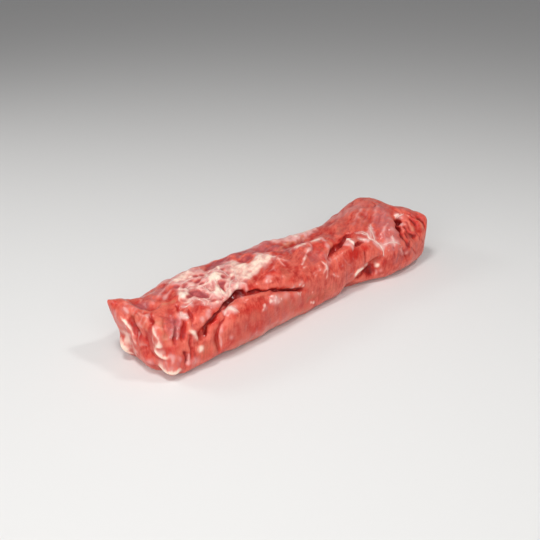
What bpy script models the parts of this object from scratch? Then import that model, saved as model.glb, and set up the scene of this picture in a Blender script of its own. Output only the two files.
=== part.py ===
"""A raw veal flank: one trimmed strip of muscle that lies on its flat side.

The strip runs along X, with its square cut end at -X and its thick round end at +X.
The side that shows the long fold faces -Y, and +Z is up. Everything is in metres, and
the strip's own places are given in millimetres from the cut end, its middle and its base.
"""

import bmesh
import bpy
import numpy as np

MM = 0.001
NAME = "veal_flank"
RAW_VEAL = (0.60, 0.155, 0.125, 1.0)  # wet pink-red muscle, linear
RAW_VEAL_ROUGHNESS = 0.38

# The strip's shape at some distances from its cut end: how far its middle stands to the
# back, half its width, its height, and how far its top leans to the back.
STATIONS = (
    # (along, middle, half width, height, lean), mm
    (0, 3, 30, 43, 2),
    (26, 0, 33, 44, 6),
    (57, 0, 34, 48, 3),
    (93, 0, 34, 47, 4),
    (130, 0, 33, 46, 2),
    (166, 1, 31, 43, 0),
    (203, 1, 32, 45, -1),
    (234, 0, 38, 48, 0),
    (260, -1, 38, 48, 4),
    (282, -3, 35, 44, -2),
)
LENGTH = STATIONS[-1][0]
WIDEST_AT = 0.40  # share of the height where the strip is widest
SQUARE_TOP, SQUARE_BASE = 2.6, 3.6  # exponents of the section's upper and lower half
PRESSED_IN = 1.2  # how far the soft base is flattened by what it lies on
CUT_ROUND, CUT_SQUARE = 8, 2.2  # the cut end's rounded rim
BUTT_ROUND, BUTT_SQUARE = 24, 2.4  # the thick end's
CUT_SKEW, CUT_SKEW_REACH = 0.13, 60  # the far corner of the cut end stands further out

# The slow unevenness of hand-trimmed muscle.
UNEVEN_BY = 0.8
UNEVEN_LENGTHS = (62, 41, 27, 19, 13)
UNEVEN_SEED = 5

# A crease's section, in shares of its width away from its line: how wide its valley is and
# how steep, where its lips stand, and where the flesh rolls in towards the line.
VALLEY, VALLEY_POWER = 0.55, 1.7
LIP_AT, LIP_SPREAD = 1.7, 0.9
ROLL_AT, ROLL_SPREAD, ROLL_SHARE = 0.8, 0.5, 0.5
NARROWED_TO = 0.45  # share of its width that a crease keeps at its ends
CORD_SPREAD = 0.6  # share of a cord's width where it has lost most of its height
PRESS_FALL = 1.2  # how fast a pressed place fades towards its reach
WAVES_OF_A_LENGTH = 3

CELLS = (260, 56, 38)  # cells of the block along, across and up
KEPT_SHARE = 0.105  # share of the block's triangles that the finished solid keeps


def flowing(along, places, values):
    """Values at some places, joined by a smooth curve and read at `along`."""
    places = np.asarray(places, float)
    values = np.asarray(values, float)
    slopes = np.gradient(values, places, axis=0)
    i = np.clip(np.searchsorted(places, along) - 1, 0, len(places) - 2)
    gap = places[i + 1] - places[i]
    t = (along - places[i]) / gap
    if values.ndim > 1:
        gap, t = gap[:, None], t[:, None]
    rise = t * t * (3 - 2 * t)
    return (
        (1 - rise) * values[i]
        + rise * values[i + 1]
        + (t * (1 - t) ** 2 * slopes[i] - t * t * (1 - t) * slopes[i + 1]) * gap
    )


def block():
    """A cube from -1 to 1 whose faces are cut into CELLS."""
    bm = bmesh.new()
    bmesh.ops.create_cube(bm, size=2)
    for axis, cells in enumerate(CELLS):
        edges = [e for e in bm.edges if abs(e.verts[0].co[axis] - e.verts[1].co[axis]) > 1]
        bmesh.ops.subdivide_edges(bm, edges=edges, cuts=cells - 1, use_grid_fill=True)
    return bm


def rim(share, depth, square):
    """How far in from an end its rounded rim is, where the section has that share of its size."""
    return depth * (1 - (1 - share**square) ** (1 / square))


def strip(cube):
    """The block's points, -1 to 1, moved to the plain strip."""
    x, y, z = cube.T
    across, up = y * np.sqrt(1 - z * z / 2), z * np.sqrt(1 - y * y / 2)
    turn, out = np.arctan2(up, across), np.hypot(across, up)
    corner_cut, corner_butt = 2 ** (-1 / CUT_SQUARE), 2 ** (-1 / BUTT_SQUARE)
    first = rim(corner_cut, CUT_ROUND, CUT_SQUARE)
    last = LENGTH - rim(corner_butt, BUTT_ROUND, BUTT_SQUARE)
    along = first + (last - first) * (x + 1) / 2
    at_cut, at_butt = x < -1 + 1e-6, x > 1 - 1e-6
    along[at_cut] = rim(out[at_cut] * corner_cut, CUT_ROUND, CUT_SQUARE)
    along[at_butt] = LENGTH - rim(out[at_butt] * corner_butt, BUTT_ROUND, BUTT_SQUARE)
    from_cut = np.clip(1 - along / CUT_ROUND, 0, 1)
    from_butt = np.clip(1 - (LENGTH - along) / BUTT_ROUND, 0, 1)
    share = np.minimum(
        (1 - from_cut**CUT_SQUARE) ** (1 / CUT_SQUARE),
        (1 - from_butt**BUTT_SQUARE) ** (1 / BUTT_SQUARE),
    )
    share[at_cut] = out[at_cut] * corner_cut
    share[at_butt] = out[at_butt] * corner_butt

    places, *shapes = np.array(STATIONS, float).T
    middle, half, height, lean = (flowing(along, places, v) for v in shapes)
    c, s = np.cos(turn), np.sin(turn)
    power = 2 / np.where(s >= 0, SQUARE_TOP, SQUARE_BASE)
    wide = WIDEST_AT * height
    level = wide + np.where(s >= 0, height - wide, wide) * np.sign(s) * np.abs(s) ** power * share
    side = middle + half * np.sign(c) * np.abs(c) ** power * share + lean * level / height
    skewed = CUT_SKEW * (side - STATIONS[0][1]) * np.clip(1 - along / CUT_SKEW_REACH, 0, 1) ** 2
    return np.stack([along - skewed, side, level - PRESSED_IN], axis=1)


class Flesh:
    """The strip's surface as points and the faces between them, and the ways to work it."""

    def __init__(self, points, faces):
        self.at = points
        self.faces = faces

    def outward(self):
        """The direction out of the flesh at each point."""
        a, b, c, d = (self.at[self.faces[:, i]] for i in range(4))
        turned = np.cross(c - a, d - b)
        out = np.zeros_like(self.at)
        for i in range(4):
            np.add.at(out, self.faces[:, i], turned)
        return out / np.linalg.norm(out, axis=1, keepdims=True)

    def beside(self, route):
        """Each point's way to the nearest place on a route, and that place's share of it."""
        route = np.asarray(route, float)
        steps = np.linalg.norm(np.diff(route, axis=0), axis=1)
        places = np.concatenate([[0], np.cumsum(steps)])
        if len(route) > 2:
            fine = np.linspace(0, places[-1], 4 * len(route))
            route, places = flowing(fine, places, route), fine
        way = np.full_like(self.at, np.inf)
        best = np.full(len(self.at), np.inf)
        share = np.zeros(len(self.at))
        for i in range(len(route) - 1):
            run = route[i + 1] - route[i]
            t = np.clip((self.at - route[i]) @ run / (run @ run), 0, 1)
            to = route[i] + t[:, None] * run - self.at
            far = np.linalg.norm(to, axis=1)
            near = far < best
            best[near], way[near] = far[near], to[near]
            share[near] = (places[i] + t[near] * (places[i + 1] - places[i])) / places[-1]
        return way, best, share

    def crease(self, route, width, depth, lip=0.15, pinch=0.5, ends=0.2):
        """Folds the flesh in along a route; its lips swell and roll towards the line."""
        way, far, share = self.beside(route)
        fade = np.clip(np.minimum(share, 1 - share) / ends, 0, 1)
        fade = np.sqrt(fade * (2 - fade))
        far = far / (width * (NARROWED_TO + (1 - NARROWED_TO) * fade))
        valley = np.exp(-((far / VALLEY) ** VALLEY_POWER))
        lips = lip * np.exp(-(((far - LIP_AT) / LIP_SPREAD) ** 2))
        roll = ROLL_SHARE * pinch * fade * np.exp(-(((far - ROLL_AT) / ROLL_SPREAD) ** 2))
        out = self.outward()
        level_way = way - (way * out).sum(1, keepdims=True) * out
        rise = depth * fade * (lips - valley)
        self.at = self.at + rise[:, None] * out + roll[:, None] * level_way

    def cord(self, route, width, height, ends=0.15):
        """Raises a soft ridge along a route."""
        _, far, share = self.beside(route)
        fade = np.clip(np.minimum(share, 1 - share) / ends, 0, 1)
        rise = height * np.sqrt(fade) * np.exp(-((far / (CORD_SPREAD * width)) ** 2))
        self.at = self.at + rise[:, None] * self.outward()

    def press(self, centre, reach, by):
        """Moves the flesh round a place: by a distance along its surface's own direction,
        or by a vector."""
        away = (self.at - centre) / np.asarray(reach, float)
        much = np.exp(-PRESS_FALL * (away**2).sum(1))[:, None]
        move = by * self.outward() if np.isscalar(by) else np.asarray(by, float)
        self.at = self.at + much * move

    def draw_out(self, start, tip, reach, power=1.5):
        """Draws the flesh at a place out to a point."""
        start, tip = np.asarray(start, float), np.asarray(tip, float)
        far = np.linalg.norm(self.at - start, axis=1) / reach
        self.at = self.at + np.clip(1 - far, 0, 1)[:, None] ** power * (tip - start)

    def waver(self, by, lengths, seed):
        """Slow waves all over, each in a direction of its own."""
        draw = np.random.default_rng(seed)
        much = np.zeros(len(self.at))
        for length in lengths:
            for _ in range(WAVES_OF_A_LENGTH):
                way = draw.normal(size=3)
                way *= 2 * np.pi / length / np.linalg.norm(way)
                much += np.sin(self.at @ way + draw.uniform(0, 2 * np.pi)) * length / lengths[0]
        self.at = self.at + (by * much / np.sqrt(len(lengths)))[:, None] * self.outward()


def shape_cut_end(flesh):
    """The cut end: its far top corner is drawn out to an ear, and its face hangs in folds."""
    flesh.press((0, 34, 6), (34, 16, 22), (0, -9, 0))
    flesh.press((19, 29, 41), (15, 11, 10), (0, -2, -3.4))
    flesh.draw_out((3, 24, 37), (-3, 34.5, 41.5), 18)
    flesh.crease([(12, 27, 40), (11, 14, 41), (13, 4, 42), (20, -2, 43)], 8, 4)
    flesh.press((0, 2, 26), (14, 15, 12), (2.5, 0, 0))
    flesh.press((0, 15, 11), (10, 7, 7), (-2.5, 0, 0))
    flesh.press((2, -7, 12), (10, 6, 8), (-2, -1, 0))
    flesh.press((10, -25, 12), (9, 8, 10), (-1, -2, 0))
    flesh.press((0, 6, 0), (8, 26, 8), (3, 0, 0))
    flesh.press((6, -17, 1), (7, 5, 7), (3.5, 3, 0))
    flesh.crease([(2, 10, 38), (2, 6, 33), (1, -2, 26)], 4, 3.5)
    flesh.crease([(0, 9, 16), (0, 10, 9), (1, 8, 3)], 4, 2)
    flesh.crease([(9, -5, 41), (7, -13, 37)], 3.5, 2.5)
    flesh.crease([(20, -12, 41), (15, -19, 36), (10, -24, 28)], 4, 2.5)
    flesh.crease([(22, -16, 39), (17, -22, 33), (12, -26, 24)], 3.5, 3)
    flesh.crease([(2, -4, 13), (5, -12, 18)], 4, 2.5)
    flesh.crease([(17, -28, 21), (19, -29, 16), (17, -29, 6)], 3.5, 3)
    flesh.crease([(24, -29, 24), (26, -31, 14), (25, -31, 6)], 3, 1.8)
    flesh.cord([(0, 20, 33), (0, 9, 29), (0, 5, 19), (0, 0, 14)], 4, 1.6)
    flesh.cord([(6, -13, 37), (5, -18, 31), (5, -19, 22), (6, -22, 15)], 4, 1.8)


def shape_front(flesh):
    """The front: a long fold runs from a pit by the cut end, over a thick slab."""
    flesh.press((76, -31, 25), (38, 12, 13), 2.0)
    flesh.press((34, -30, 20), (14, 12, 14), -1.2)
    flesh.press((80, -30, 2), (30, 8, 7), (0, 1.5, 0))
    long_fold = [
        (30, -29, 25), (34, -29, 28), (39, -28, 31), (46, -27, 34), (54, -26, 37), (62, -24, 40),
        (70, -22, 41), (80, -24, 39), (92, -26, 37), (104, -28, 34), (118, -30, 29), (130, -32, 25),
    ]
    flesh.crease(long_fold, 5, 8, lip=0.12, pinch=0.9)
    flesh.crease([(62, -23, 41), (70, -21, 42), (77, -22, 41)], 4, 3, lip=0)
    flesh.press((33, -30, 27), (3, 4, 3), -3)
    slab_end = [(55, -27, 36), (52, -29, 32), (48, -30, 29), (44, -31, 25), (43, -32, 20), (45, -33, 8)]
    flesh.crease(slab_end, 4, 3.6, lip=0.2)
    flesh.press((118, -27, 38), (34, 9, 9), 1.8)
    flesh.crease([(108, -32, 14), (121, -33, 12), (140, -32, 15)], 6, 1.2)
    flesh.crease([(66, -33, 22), (74, -34, 12), (78, -33, 4)], 7, 1.0)
    flesh.crease([(88, -33, 24), (94, -34, 14), (97, -33, 5)], 7, 1.0)


def shape_top(flesh):
    """The top: a hollow fold runs along its far side, and the muscle bunches before it."""
    flesh.press((100, 9, 46), (24, 8, 8), -1.5)
    far_hollow = [(120, 11, 46), (133, 4, 46), (144, 6, 45), (155, 6, 44), (168, 9, 43), (178, 12, 43)]
    flesh.crease(far_hollow, 6, 3.4)
    flesh.press((134, 21, 42), (16, 9, 8), (0, 1.5, 2.2))
    flesh.press((155, 17, 42), (22, 7, 8), 1.4)
    flesh.crease([(84, 13, 46), (96, 7, 47), (108, 6, 46)], 4.5, 1.8)
    flesh.cord([(108, 3, 46), (117, 7, 46), (122, -1, 46), (129, -5, 45)], 5, 1.4)
    flesh.cord([(140, -17, 41), (145, -5, 44), (155, 1, 43), (158, -6, 42)], 6, 1.8)
    flesh.cord([(160, -10, 41), (167, -1, 43), (176, -2, 43), (172, -14, 41)], 6, 1.6)
    flesh.crease([(40, 5, 45), (52, -4, 46), (66, -8, 47)], 6, 1.0)


def shape_thick_end(flesh):
    """The thick end: a torn fold on its top, a notch under the slab's end, and cut crags."""
    flesh.press((273, -23, 39), (14, 13, 13), (5, -5, 4))
    flesh.press((266, -36, 3), (12, 8, 8), (0, 2.5, 0))
    flesh.press((258, 27, 43), (20, 14, 10), (0, 1.5, 2.5))
    flesh.press((271, 0, 46), (8, 8, 8), (-1, 0, -2))
    torn_fold = [
        (160, -24, 35), (165, -20, 38), (172, -18, 39), (181, -17, 40), (188, -15, 41), (199, -12, 43),
    ]
    flesh.crease(torn_fold, 5, 4.5, pinch=0.8)
    flesh.press((180, -23, 35), (20, 9, 9), 1.6)
    flesh.crease([(184, -30, 7), (194, -30, 13), (201, -31, 19), (208, -32, 21), (215, -33, 25)], 6, 5)
    flesh.press((204, -33, 14), (8, 8, 7), -4)
    flesh.press((183, -29, 2), (12, 8, 8), (0, 6, 1.5))
    flesh.crease([(196, -30, 22), (199, -30, 27), (197, -28, 32)], 3, 1.8)
    flesh.crease([(214, -32, 26), (217, -26, 38), (225, -12, 47), (230, 6, 47)], 8, 1.6, lip=0.3)
    flesh.press((247, -22, 45), (4, 5, 5), -4)
    flesh.press((241, -29, 41), (4, 4, 5), -4)
    flesh.crease([(247, -30, 39), (254, -32, 38), (265, -36, 31)], 4, 2.8)
    flesh.crease([(246, -32, 37), (248, -35, 33), (256, -37, 27)], 4, 2.8)
    flesh.crease([(232, -10, 48), (224, -18, 45)], 5, 1.5)
    flesh.crease([(228, -37, 24), (238, -39, 18), (250, -39, 16)], 6, 1.4)
    flesh.crease([(262, -14, 48), (264, 0, 47), (258, 12, 48)], 6, 1.8)
    flesh.crease([(281, -18, 34), (283, -6, 26), (281, 8, 28), (276, 20, 22)], 7, 3)
    flesh.crease([(281, -10, 12), (283, -2, 18), (282, -6, 26)], 6, 2)
    flesh.press((282, 6, 14), (9, 12, 9), 2)
    flesh.press((279, -14, 22), (8, 8, 8), 1.5)


def shape_back(flesh):
    """The far side: one long soft fold between two rolls of muscle, and short cross folds."""
    flesh.press((110, 34, 28), (70, 12, 8), 1.5)
    roll_line = [(46, 34, 22), (72, 36, 18), (100, 36, 20), (132, 36, 16), (163, 34, 19), (196, 35, 14)]
    flesh.crease(roll_line, 6, 4, pinch=0.8)
    flesh.crease([(205, 33, 36), (214, 36, 24), (221, 39, 10)], 7, 3, lip=0.25)
    flesh.crease([(148, 32, 34), (158, 33, 27), (163, 34, 20)], 5, 2)
    flesh.crease([(58, 32, 36), (66, 35, 28), (70, 36, 19)], 5, 1.8)
    flesh.crease([(20, 28, 30), (30, 32, 20), (28, 32, 8)], 5, 2)
    flesh.crease([(240, 40, 26), (256, 40, 20), (270, 34, 22)], 6, 2)
    flesh.press((238, 38, 14), (16, 10, 10), 1.5)


def raw_veal():
    """Wet muscle: pink-red, with a low, damp shine."""
    material = bpy.data.materials.new("raw_veal")
    material.use_nodes = True
    shader = material.node_tree.nodes["Principled BSDF"]
    shader.inputs["Base Color"].default_value = RAW_VEAL
    shader.inputs["Roughness"].default_value = RAW_VEAL_ROUGHNESS
    shader.inputs["Metallic"].default_value = 0.0
    return material


def shaped_flesh(bm):
    """The block's points worked into the whole strip, on a flat base."""
    faces = np.array([[v.index for v in face.verts] for face in bm.faces])
    flesh = Flesh(strip(np.array([v.co for v in bm.verts])), faces)
    flesh.waver(UNEVEN_BY, UNEVEN_LENGTHS, UNEVEN_SEED)
    shape_back(flesh)
    shape_top(flesh)
    shape_front(flesh)
    shape_thick_end(flesh)
    shape_cut_end(flesh)
    flesh.at[:, 2] = np.maximum(flesh.at[:, 2], 0)
    return flesh


def base_middle(points):
    """The middle of the points' box, at its base."""
    low, high = points.min(0), points.max(0)
    return np.array([(low[0] + high[0]) / 2, (low[1] + high[1]) / 2, low[2]])


def main():
    for old in list(bpy.data.objects):
        bpy.data.objects.remove(old)
    meat = bpy.data.collections.new(NAME)
    bpy.context.scene.collection.children.link(meat)

    bm = block()
    flesh = shaped_flesh(bm)
    for vert, at in zip(bm.verts, (flesh.at - base_middle(flesh.at)) * MM):
        vert.co = at
    bmesh.ops.recalc_face_normals(bm, faces=bm.faces)
    mesh = bpy.data.meshes.new(NAME)
    bm.to_mesh(mesh)
    bm.free()
    mesh.shade_smooth()
    mesh.materials.append(raw_veal())
    flank = bpy.data.objects.new(NAME, mesh)
    meat.objects.link(flank)
    fewer = flank.modifiers.new("fewer_faces", "DECIMATE")
    fewer.ratio = KEPT_SHARE


main()
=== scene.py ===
"""The looks of a raw veal flank: wet, hand-trimmed muscle under a web of fat and silverskin.

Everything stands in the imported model's frame, in metres. The strip's own places are given
in millimetres: along it from its cut end, across it to the back, and up from its base.
"""

import math

import bmesh
import bpy
import numpy as np
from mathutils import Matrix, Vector, noise
from mathutils.bvhtree import BVHTree


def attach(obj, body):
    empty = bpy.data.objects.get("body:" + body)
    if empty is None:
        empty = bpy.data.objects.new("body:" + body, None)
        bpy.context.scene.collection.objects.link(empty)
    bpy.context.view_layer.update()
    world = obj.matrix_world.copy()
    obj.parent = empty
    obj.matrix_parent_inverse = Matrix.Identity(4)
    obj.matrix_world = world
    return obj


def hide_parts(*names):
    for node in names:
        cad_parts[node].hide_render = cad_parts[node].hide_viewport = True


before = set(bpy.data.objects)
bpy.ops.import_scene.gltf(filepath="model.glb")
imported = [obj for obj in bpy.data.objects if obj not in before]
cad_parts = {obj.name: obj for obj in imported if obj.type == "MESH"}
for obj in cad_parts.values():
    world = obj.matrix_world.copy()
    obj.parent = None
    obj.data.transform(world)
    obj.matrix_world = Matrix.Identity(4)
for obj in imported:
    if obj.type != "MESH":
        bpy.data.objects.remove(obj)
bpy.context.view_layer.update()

MM = 0.001
ORIGIN = np.array((140.48, 0.57, 0.0))  # the frame's origin in the strip's own places, mm

# The view: a camera over the near side of the cut end.
EYE = (-0.336, -0.3516, 0.289)
EYE_TURN, EYE_TIP = -42.0, 28.5  # degrees: to the right of +Y, and down
FOCAL_PIXELS, FRAME_PIXELS = 700, 540

# How finely the flesh is cut, and how its surface is evened out before it is worked.
FLESH_GRAIN = 0.9  # mm between points
EVENED_TIMES = 10
LEAN_TIMES = 12  # how widely the way out of the flesh is averaged
ROUTE_STEP = 1.2  # mm between the places of a smoothed route

WANDER = 1.28  # mm that every edge and line wanders
WANDER_LENGTH = 7.0
UNEVEN_LENGTH = 4.5  # mm between a fold's or ridge's wide and narrow places

ENDS = 0.2  # the share of a fold or ridge along which each end fades out
# Across a fold, in shares of its width: its floor, and its sides, which roll in a little.
FLOOR_SHARE = 0.62
ROLL_AT, ROLL_SHARE, ROLL_IN = 0.9, 0.5, 0.3
RIDGE_SHARE = 0.6  # a ridge's crest, in shares of its width
HAZE_SHARE, HAZE = 1.2, 0.75  # the paler haze beside a line of fat or sinew

# The flesh's layers (among them the painted shade of its folds), its thin web, the ways its fibres run, the
# painted shading of its relief (darker hollows, paler crests) and its calm places.
TONES = (
    "fold_with_painted_shade", "red", "mauve", "tan", "veil", "fat", "sinew", "web", "cross", "upright", "hollow", "calm",
)


def linear(code, alpha=1.0):
    """An sRGB hex colour as linear light."""
    parts = [int(code[i : i + 2], 16) / 255 for i in (0, 2, 4)]
    return (*[c / 12.92 if c <= 0.04045 else ((c + 0.055) / 1.055) ** 2.4 for c in parts], alpha)


def per_metre(millimetres):
    """A noise pattern's scale for forms of that size."""
    return 1000 / millimetres


def flowing(along, places, values):
    """Values at some places, joined by a smooth curve and read at `along`."""
    slopes = np.gradient(values, places, axis=0)
    i = np.clip(np.searchsorted(places, along) - 1, 0, len(places) - 2)
    gap = (places[i + 1] - places[i])[:, None]
    t = (along - places[i])[:, None] / gap
    rise = t * t * (3 - 2 * t)
    swing = (t * (1 - t) ** 2 * slopes[i] - t * t * (1 - t) * slopes[i + 1]) * gap
    return (1 - rise) * values[i] + rise * values[i + 1] + swing


def eased(x):
    """A soft step from 0 at x = 0 to 1 at x = 1."""
    x = np.clip(x, 0, 1)
    return x * x * (3 - 2 * x)


def noise_at(points, length, seed):
    """Smooth noise, mostly within -1 to 1, with forms of that length."""
    away = Vector((seed * 17.3, seed * -9.1, seed * 5.7))
    return np.array([noise.noise(Vector(p) + away) for p in points / length]) * 1.6


class Flesh:
    """The flesh's surface in the strip's own millimetres, and the ways to work and tint it."""

    def __init__(self, mesh):
        count = len(mesh.vertices)
        at = np.empty(count * 3)
        mesh.vertices.foreach_get("co", at)
        self.at = at.reshape(-1, 3) / MM + ORIGIN
        mesh.calc_loop_triangles()
        faces = np.empty(len(mesh.loop_triangles) * 3, np.int32)
        mesh.loop_triangles.foreach_get("vertices", faces)
        self.faces = faces.reshape(-1, 3)
        edges = np.empty(len(mesh.edges) * 2, np.int32)
        mesh.edges.foreach_get("vertices", edges)
        self.edges = edges.reshape(-1, 2)
        self.beside_count = np.bincount(self.edges.ravel(), minlength=count)
        self.tones = {name: np.zeros(count) for name in TONES}
        self.at = self.spread(self.at, EVENED_TIMES)
        self.look_again()

    def spread(self, values, times):
        """Values shared out between neighbouring points."""
        values = np.array(values, float)
        a, b = self.edges.T
        for _ in range(times):
            columns = values.reshape(len(values), -1).T
            shared = [np.bincount(a, c[b], len(c)) + np.bincount(b, c[a], len(c)) for c in columns]
            mean = np.stack(shared, axis=1) / self.beside_count[:, None]
            values = (values + mean.reshape(values.shape)) / 2
        return values

    def outward(self):
        """Each point's way out of the flesh."""
        a, b, c = (self.at[self.faces[:, i]] for i in range(3))
        turned = np.cross(b - a, c - a)
        out = np.stack(
            [sum(np.bincount(self.faces[:, i], t, len(self.at)) for i in range(3)) for t in turned.T],
            axis=1,
        )
        return out / np.linalg.norm(out, axis=1, keepdims=True)

    def look_again(self):
        """Takes the surface as it is now for what comes next: its lean, its wandering, its skin."""
        lean = self.spread(self.outward(), LEAN_TIMES)
        self.out = lean / np.linalg.norm(lean, axis=1, keepdims=True)
        wander = np.array([noise.noise_vector(Vector(p)) for p in self.at / WANDER_LENGTH]) * WANDER
        wander -= (wander * self.out).sum(1, keepdims=True) * self.out
        self.seen = self.at + wander
        self.uneven = np.clip(1 + 0.55 * noise_at(self.at, UNEVEN_LENGTH, 41), 0.4, 1.5)
        self.skin = BVHTree.FromPolygons(self.at.tolist(), self.faces.tolist())

    def settled(self, route):
        """A route as a smooth curve that lies on the flesh."""
        route = np.asarray(route, float)
        places = np.concatenate([[0], np.cumsum(np.linalg.norm(np.diff(route, axis=0), axis=1))])
        fine = np.linspace(0, places[-1], max(3, round(places[-1] / ROUTE_STEP) + 1))
        if len(route) > 2:
            route = flowing(fine, places, route)
        else:
            route = route[0] + (route[1] - route[0]) * (fine / places[-1])[:, None]
        return np.array([self.skin.find_nearest(p)[0] for p in route])

    def beside(self, route, reach):
        """The points near a route: which, their way to it, how far, and at what share of it."""
        route = self.settled(route)
        near = ((self.at > route.min(0) - reach) & (self.at < route.max(0) + reach)).all(1)
        near = np.flatnonzero(near)
        at = self.seen[near]
        best = np.full(len(near), np.inf)
        way, share = np.zeros((len(near), 3)), np.zeros(len(near))
        for i in range(len(route) - 1):
            run = route[i + 1] - route[i]
            t = np.clip((at - route[i]) @ run / max(run @ run, 1e-9), 0, 1)
            to = route[i] + t[:, None] * run - at
            far = np.linalg.norm(to, axis=1)
            closer = far < best
            best[closer], way[closer] = far[closer], to[closer]
            share[closer] = (i + t[closer]) / (len(route) - 1)
        return near, way, best, share

    def tint(self, tone, much, near=slice(None)):
        """Adds to a tone; a point that has it already keeps the greater."""
        self.tones[tone][near] = np.maximum(self.tones[tone][near], much)

    def clear(self, tone, near, much):
        """Takes away from a tone."""
        self.tones[tone][near] *= 1 - much

    def fold_with_painted_shade(self, route, width, depth, painted_shade=1.0, ends=ENDS):
        """Cuts a fold, whose sides roll in over its floor, and paints shade, dark red, on that floor."""
        near, way, far, share = self.beside(route, 3 * width + 2)
        fade = np.sqrt(np.clip(np.minimum(share, 1 - share) / ends, 0.02, 1))
        far = far / (width * (0.35 + 0.65 * fade) * self.uneven[near])
        out = self.out[near]
        level = way - (way * out).sum(1, keepdims=True) * out
        roll = ROLL_IN * fade * np.exp(-(((far - ROLL_AT) / ROLL_SHARE) ** 2))
        floor = fade * np.exp(-((far / FLOOR_SHARE) ** 2))
        self.at[near] += roll[:, None] * level - depth * floor[:, None] * out
        self.tint("fold_with_painted_shade", painted_shade * floor, near)

    def gash(self, route, width, depth, painted_shade, red_width, red=0.9):
        """Cuts a fold with painted shade on its floor, between red walls."""
        self.fold_with_painted_shade(route, width, depth, painted_shade)
        self.streak("red", route, red_width, red)

    def ridge(self, route, width, height, tone=None, much=1.0):
        """Raises a soft ridge, which may have a tone of its own."""
        near, _, far, share = self.beside(route, 2.4 * width + 2)
        fade = np.sqrt(np.clip(np.minimum(share, 1 - share) / ENDS, 0, 1))
        line = fade * np.exp(-((far / (RIDGE_SHARE * width * self.uneven[near])) ** 2))
        self.at[near] += (height * line)[:, None] * self.out[near]
        if tone:
            self.tint(tone, much * line * (0.35 + 0.65 * self.uneven[near]), near)
        if tone in ("fat", "sinew"):
            self.tint("veil", HAZE * much * fade * np.exp(-((far / (HAZE_SHARE * width)) ** 2)), near)

    def lip(self, route, width, height, tone, much):
        """Raises a pale lip that stands clear of the painted fold shade below it."""
        near, _, far, _ = self.beside(route, 2.4 * width + 2)
        self.clear("fold_with_painted_shade", near, np.exp(-((far / (0.7 * width)) ** 2)))
        self.ridge(route, width, height, tone, much)

    def streak(self, tone, route, width, much=1.0):
        """Draws a line of a tone."""
        self.ridge(route, width, 0, tone, much)

    def spot(self, tone, centre, reach, much=1.0, rise=0.0):
        """Tints a round or oval place, which may stand up or lie low."""
        away = (self.seen - centre) / np.asarray(reach, float)
        much_here = np.exp(-1.2 * (away**2).sum(1))
        near = np.flatnonzero(much_here > 0.01)
        much_here = much_here[near]
        self.at[near] += (rise * much_here)[:, None] * self.out[near]
        if tone:
            self.tint(tone, much * much_here, near)

    def spots(self, tone, places, reach, much=1.0, rise=0.0):
        """The same spot at several places."""
        for place in places:
            self.spot(tone, place, reach, much, rise)

    def painted_glints(self, places, across, much):
        """Painted highlights: small pale spots, raised a little, where the wet surface glints."""
        self.spots("sinew", places, across, much, 0.3)

    def within(self, outline, axes, soft):
        """How far inside an outline each point is, seen along the third axis: 0 outside, 1 inside."""
        outline = np.asarray(outline, float)
        at = self.seen[:, axes]
        inside = np.zeros(len(at), bool)
        edge = np.full(len(at), np.inf)
        for a, b in zip(outline, np.roll(outline, -1, axis=0)):
            run = b - a
            t = np.clip((at - a) @ run / (run @ run), 0, 1)
            edge = np.minimum(edge, np.linalg.norm(a + t[:, None] * run - at, axis=1))
            if a[1] != b[1]:
                crossed = (a[1] > at[:, 1]) != (b[1] > at[:, 1])
                inside ^= crossed & (at[:, 0] < a[0] + (at[:, 1] - a[1]) / run[1] * run[0])
        return eased(0.5 + np.where(inside, edge, -edge) / (2 * soft))

    def from_above(self, outline, soft):
        """How far inside an outline on the top each point is, drawn from above."""
        return self.within(outline, (0, 1), soft) * eased((self.out[:, 2] + 0.1) / 0.4)

    def on_top(self, tone, outline, soft, much):
        """Tints an area of the top."""
        self.tint(tone, much * self.from_above(outline, soft))

    def on_front(self, tone, outline, soft, much):
        """Tints an area of the front, outlined along and up."""
        facing = eased((0.2 - self.out[:, 1]) / 0.4)
        self.tint(tone, much * self.within(outline, (0, 2), soft) * facing)

    def bare(self, much_here, deep):
        """Takes off the fat and silverskin, down to the darker muscle, which lies lower."""
        near = np.flatnonzero(much_here > 0.01)
        much = much_here[near]
        self.at[near] -= (deep * much)[:, None] * self.out[near]
        for covering in ("fat", "veil", "sinew", "web"):
            self.clear(covering, near, much)
        self.tint("mauve", much, near)

    def window(self, centre, reach):
        """A round or oval opening in the fat."""
        away = (self.seen - centre) / np.asarray(reach, float)
        self.bare(0.9 * eased(1.35 - 1.1 * np.sqrt((away**2).sum(1))), 0.8)

    def opening(self, outline, soft, much, deep):
        """An opening in the fat, outlined from above."""
        self.bare(much * self.from_above(outline, soft), deep)


def facing_front(flesh):
    """Where the flesh faces the front."""
    return eased((-flesh.out[:, 1] - 0.35) / 0.4)


def across_strip(flesh):
    """Where the fibres run round the strip and not along it: past the pits and on its front."""
    past_pits = eased((flesh.at[:, 0] - 250 - 0.4 * flesh.at[:, 1]) / 12)
    return np.maximum(past_pits, facing_front(flesh))


def at_cut(flesh):
    """Where the flesh hangs at the cut end, with upright fibres."""
    return eased((26 + 0.3 * (flesh.at[:, 1] + 20) - flesh.at[:, 0]) / 8)


def fibred(flesh, shape, length, seed):
    """Noise whose forms are long the way the fibres run: aslant on the top, round the strip
    where they go across it, and upright at the cut end."""
    turn = math.radians(28)
    along = np.array((math.cos(turn), math.sin(turn), 0))
    across = (-math.sin(turn), math.cos(turn), 0)
    aslant = flesh.seen @ np.stack((0.38 * along, across, (0, 0, 1)), axis=1)
    made = shape(noise_at(aslant, length, seed))
    for stretch, much in (((1, 0.38, 0.38), across_strip(flesh)), ((1, 1, 0.3), at_cut(flesh))):
        here = much > 0
        there = shape(noise_at(flesh.seen[here] * stretch, length, seed + 50))
        made[here] += (there - made[here]) * much[here]
    return made


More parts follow.
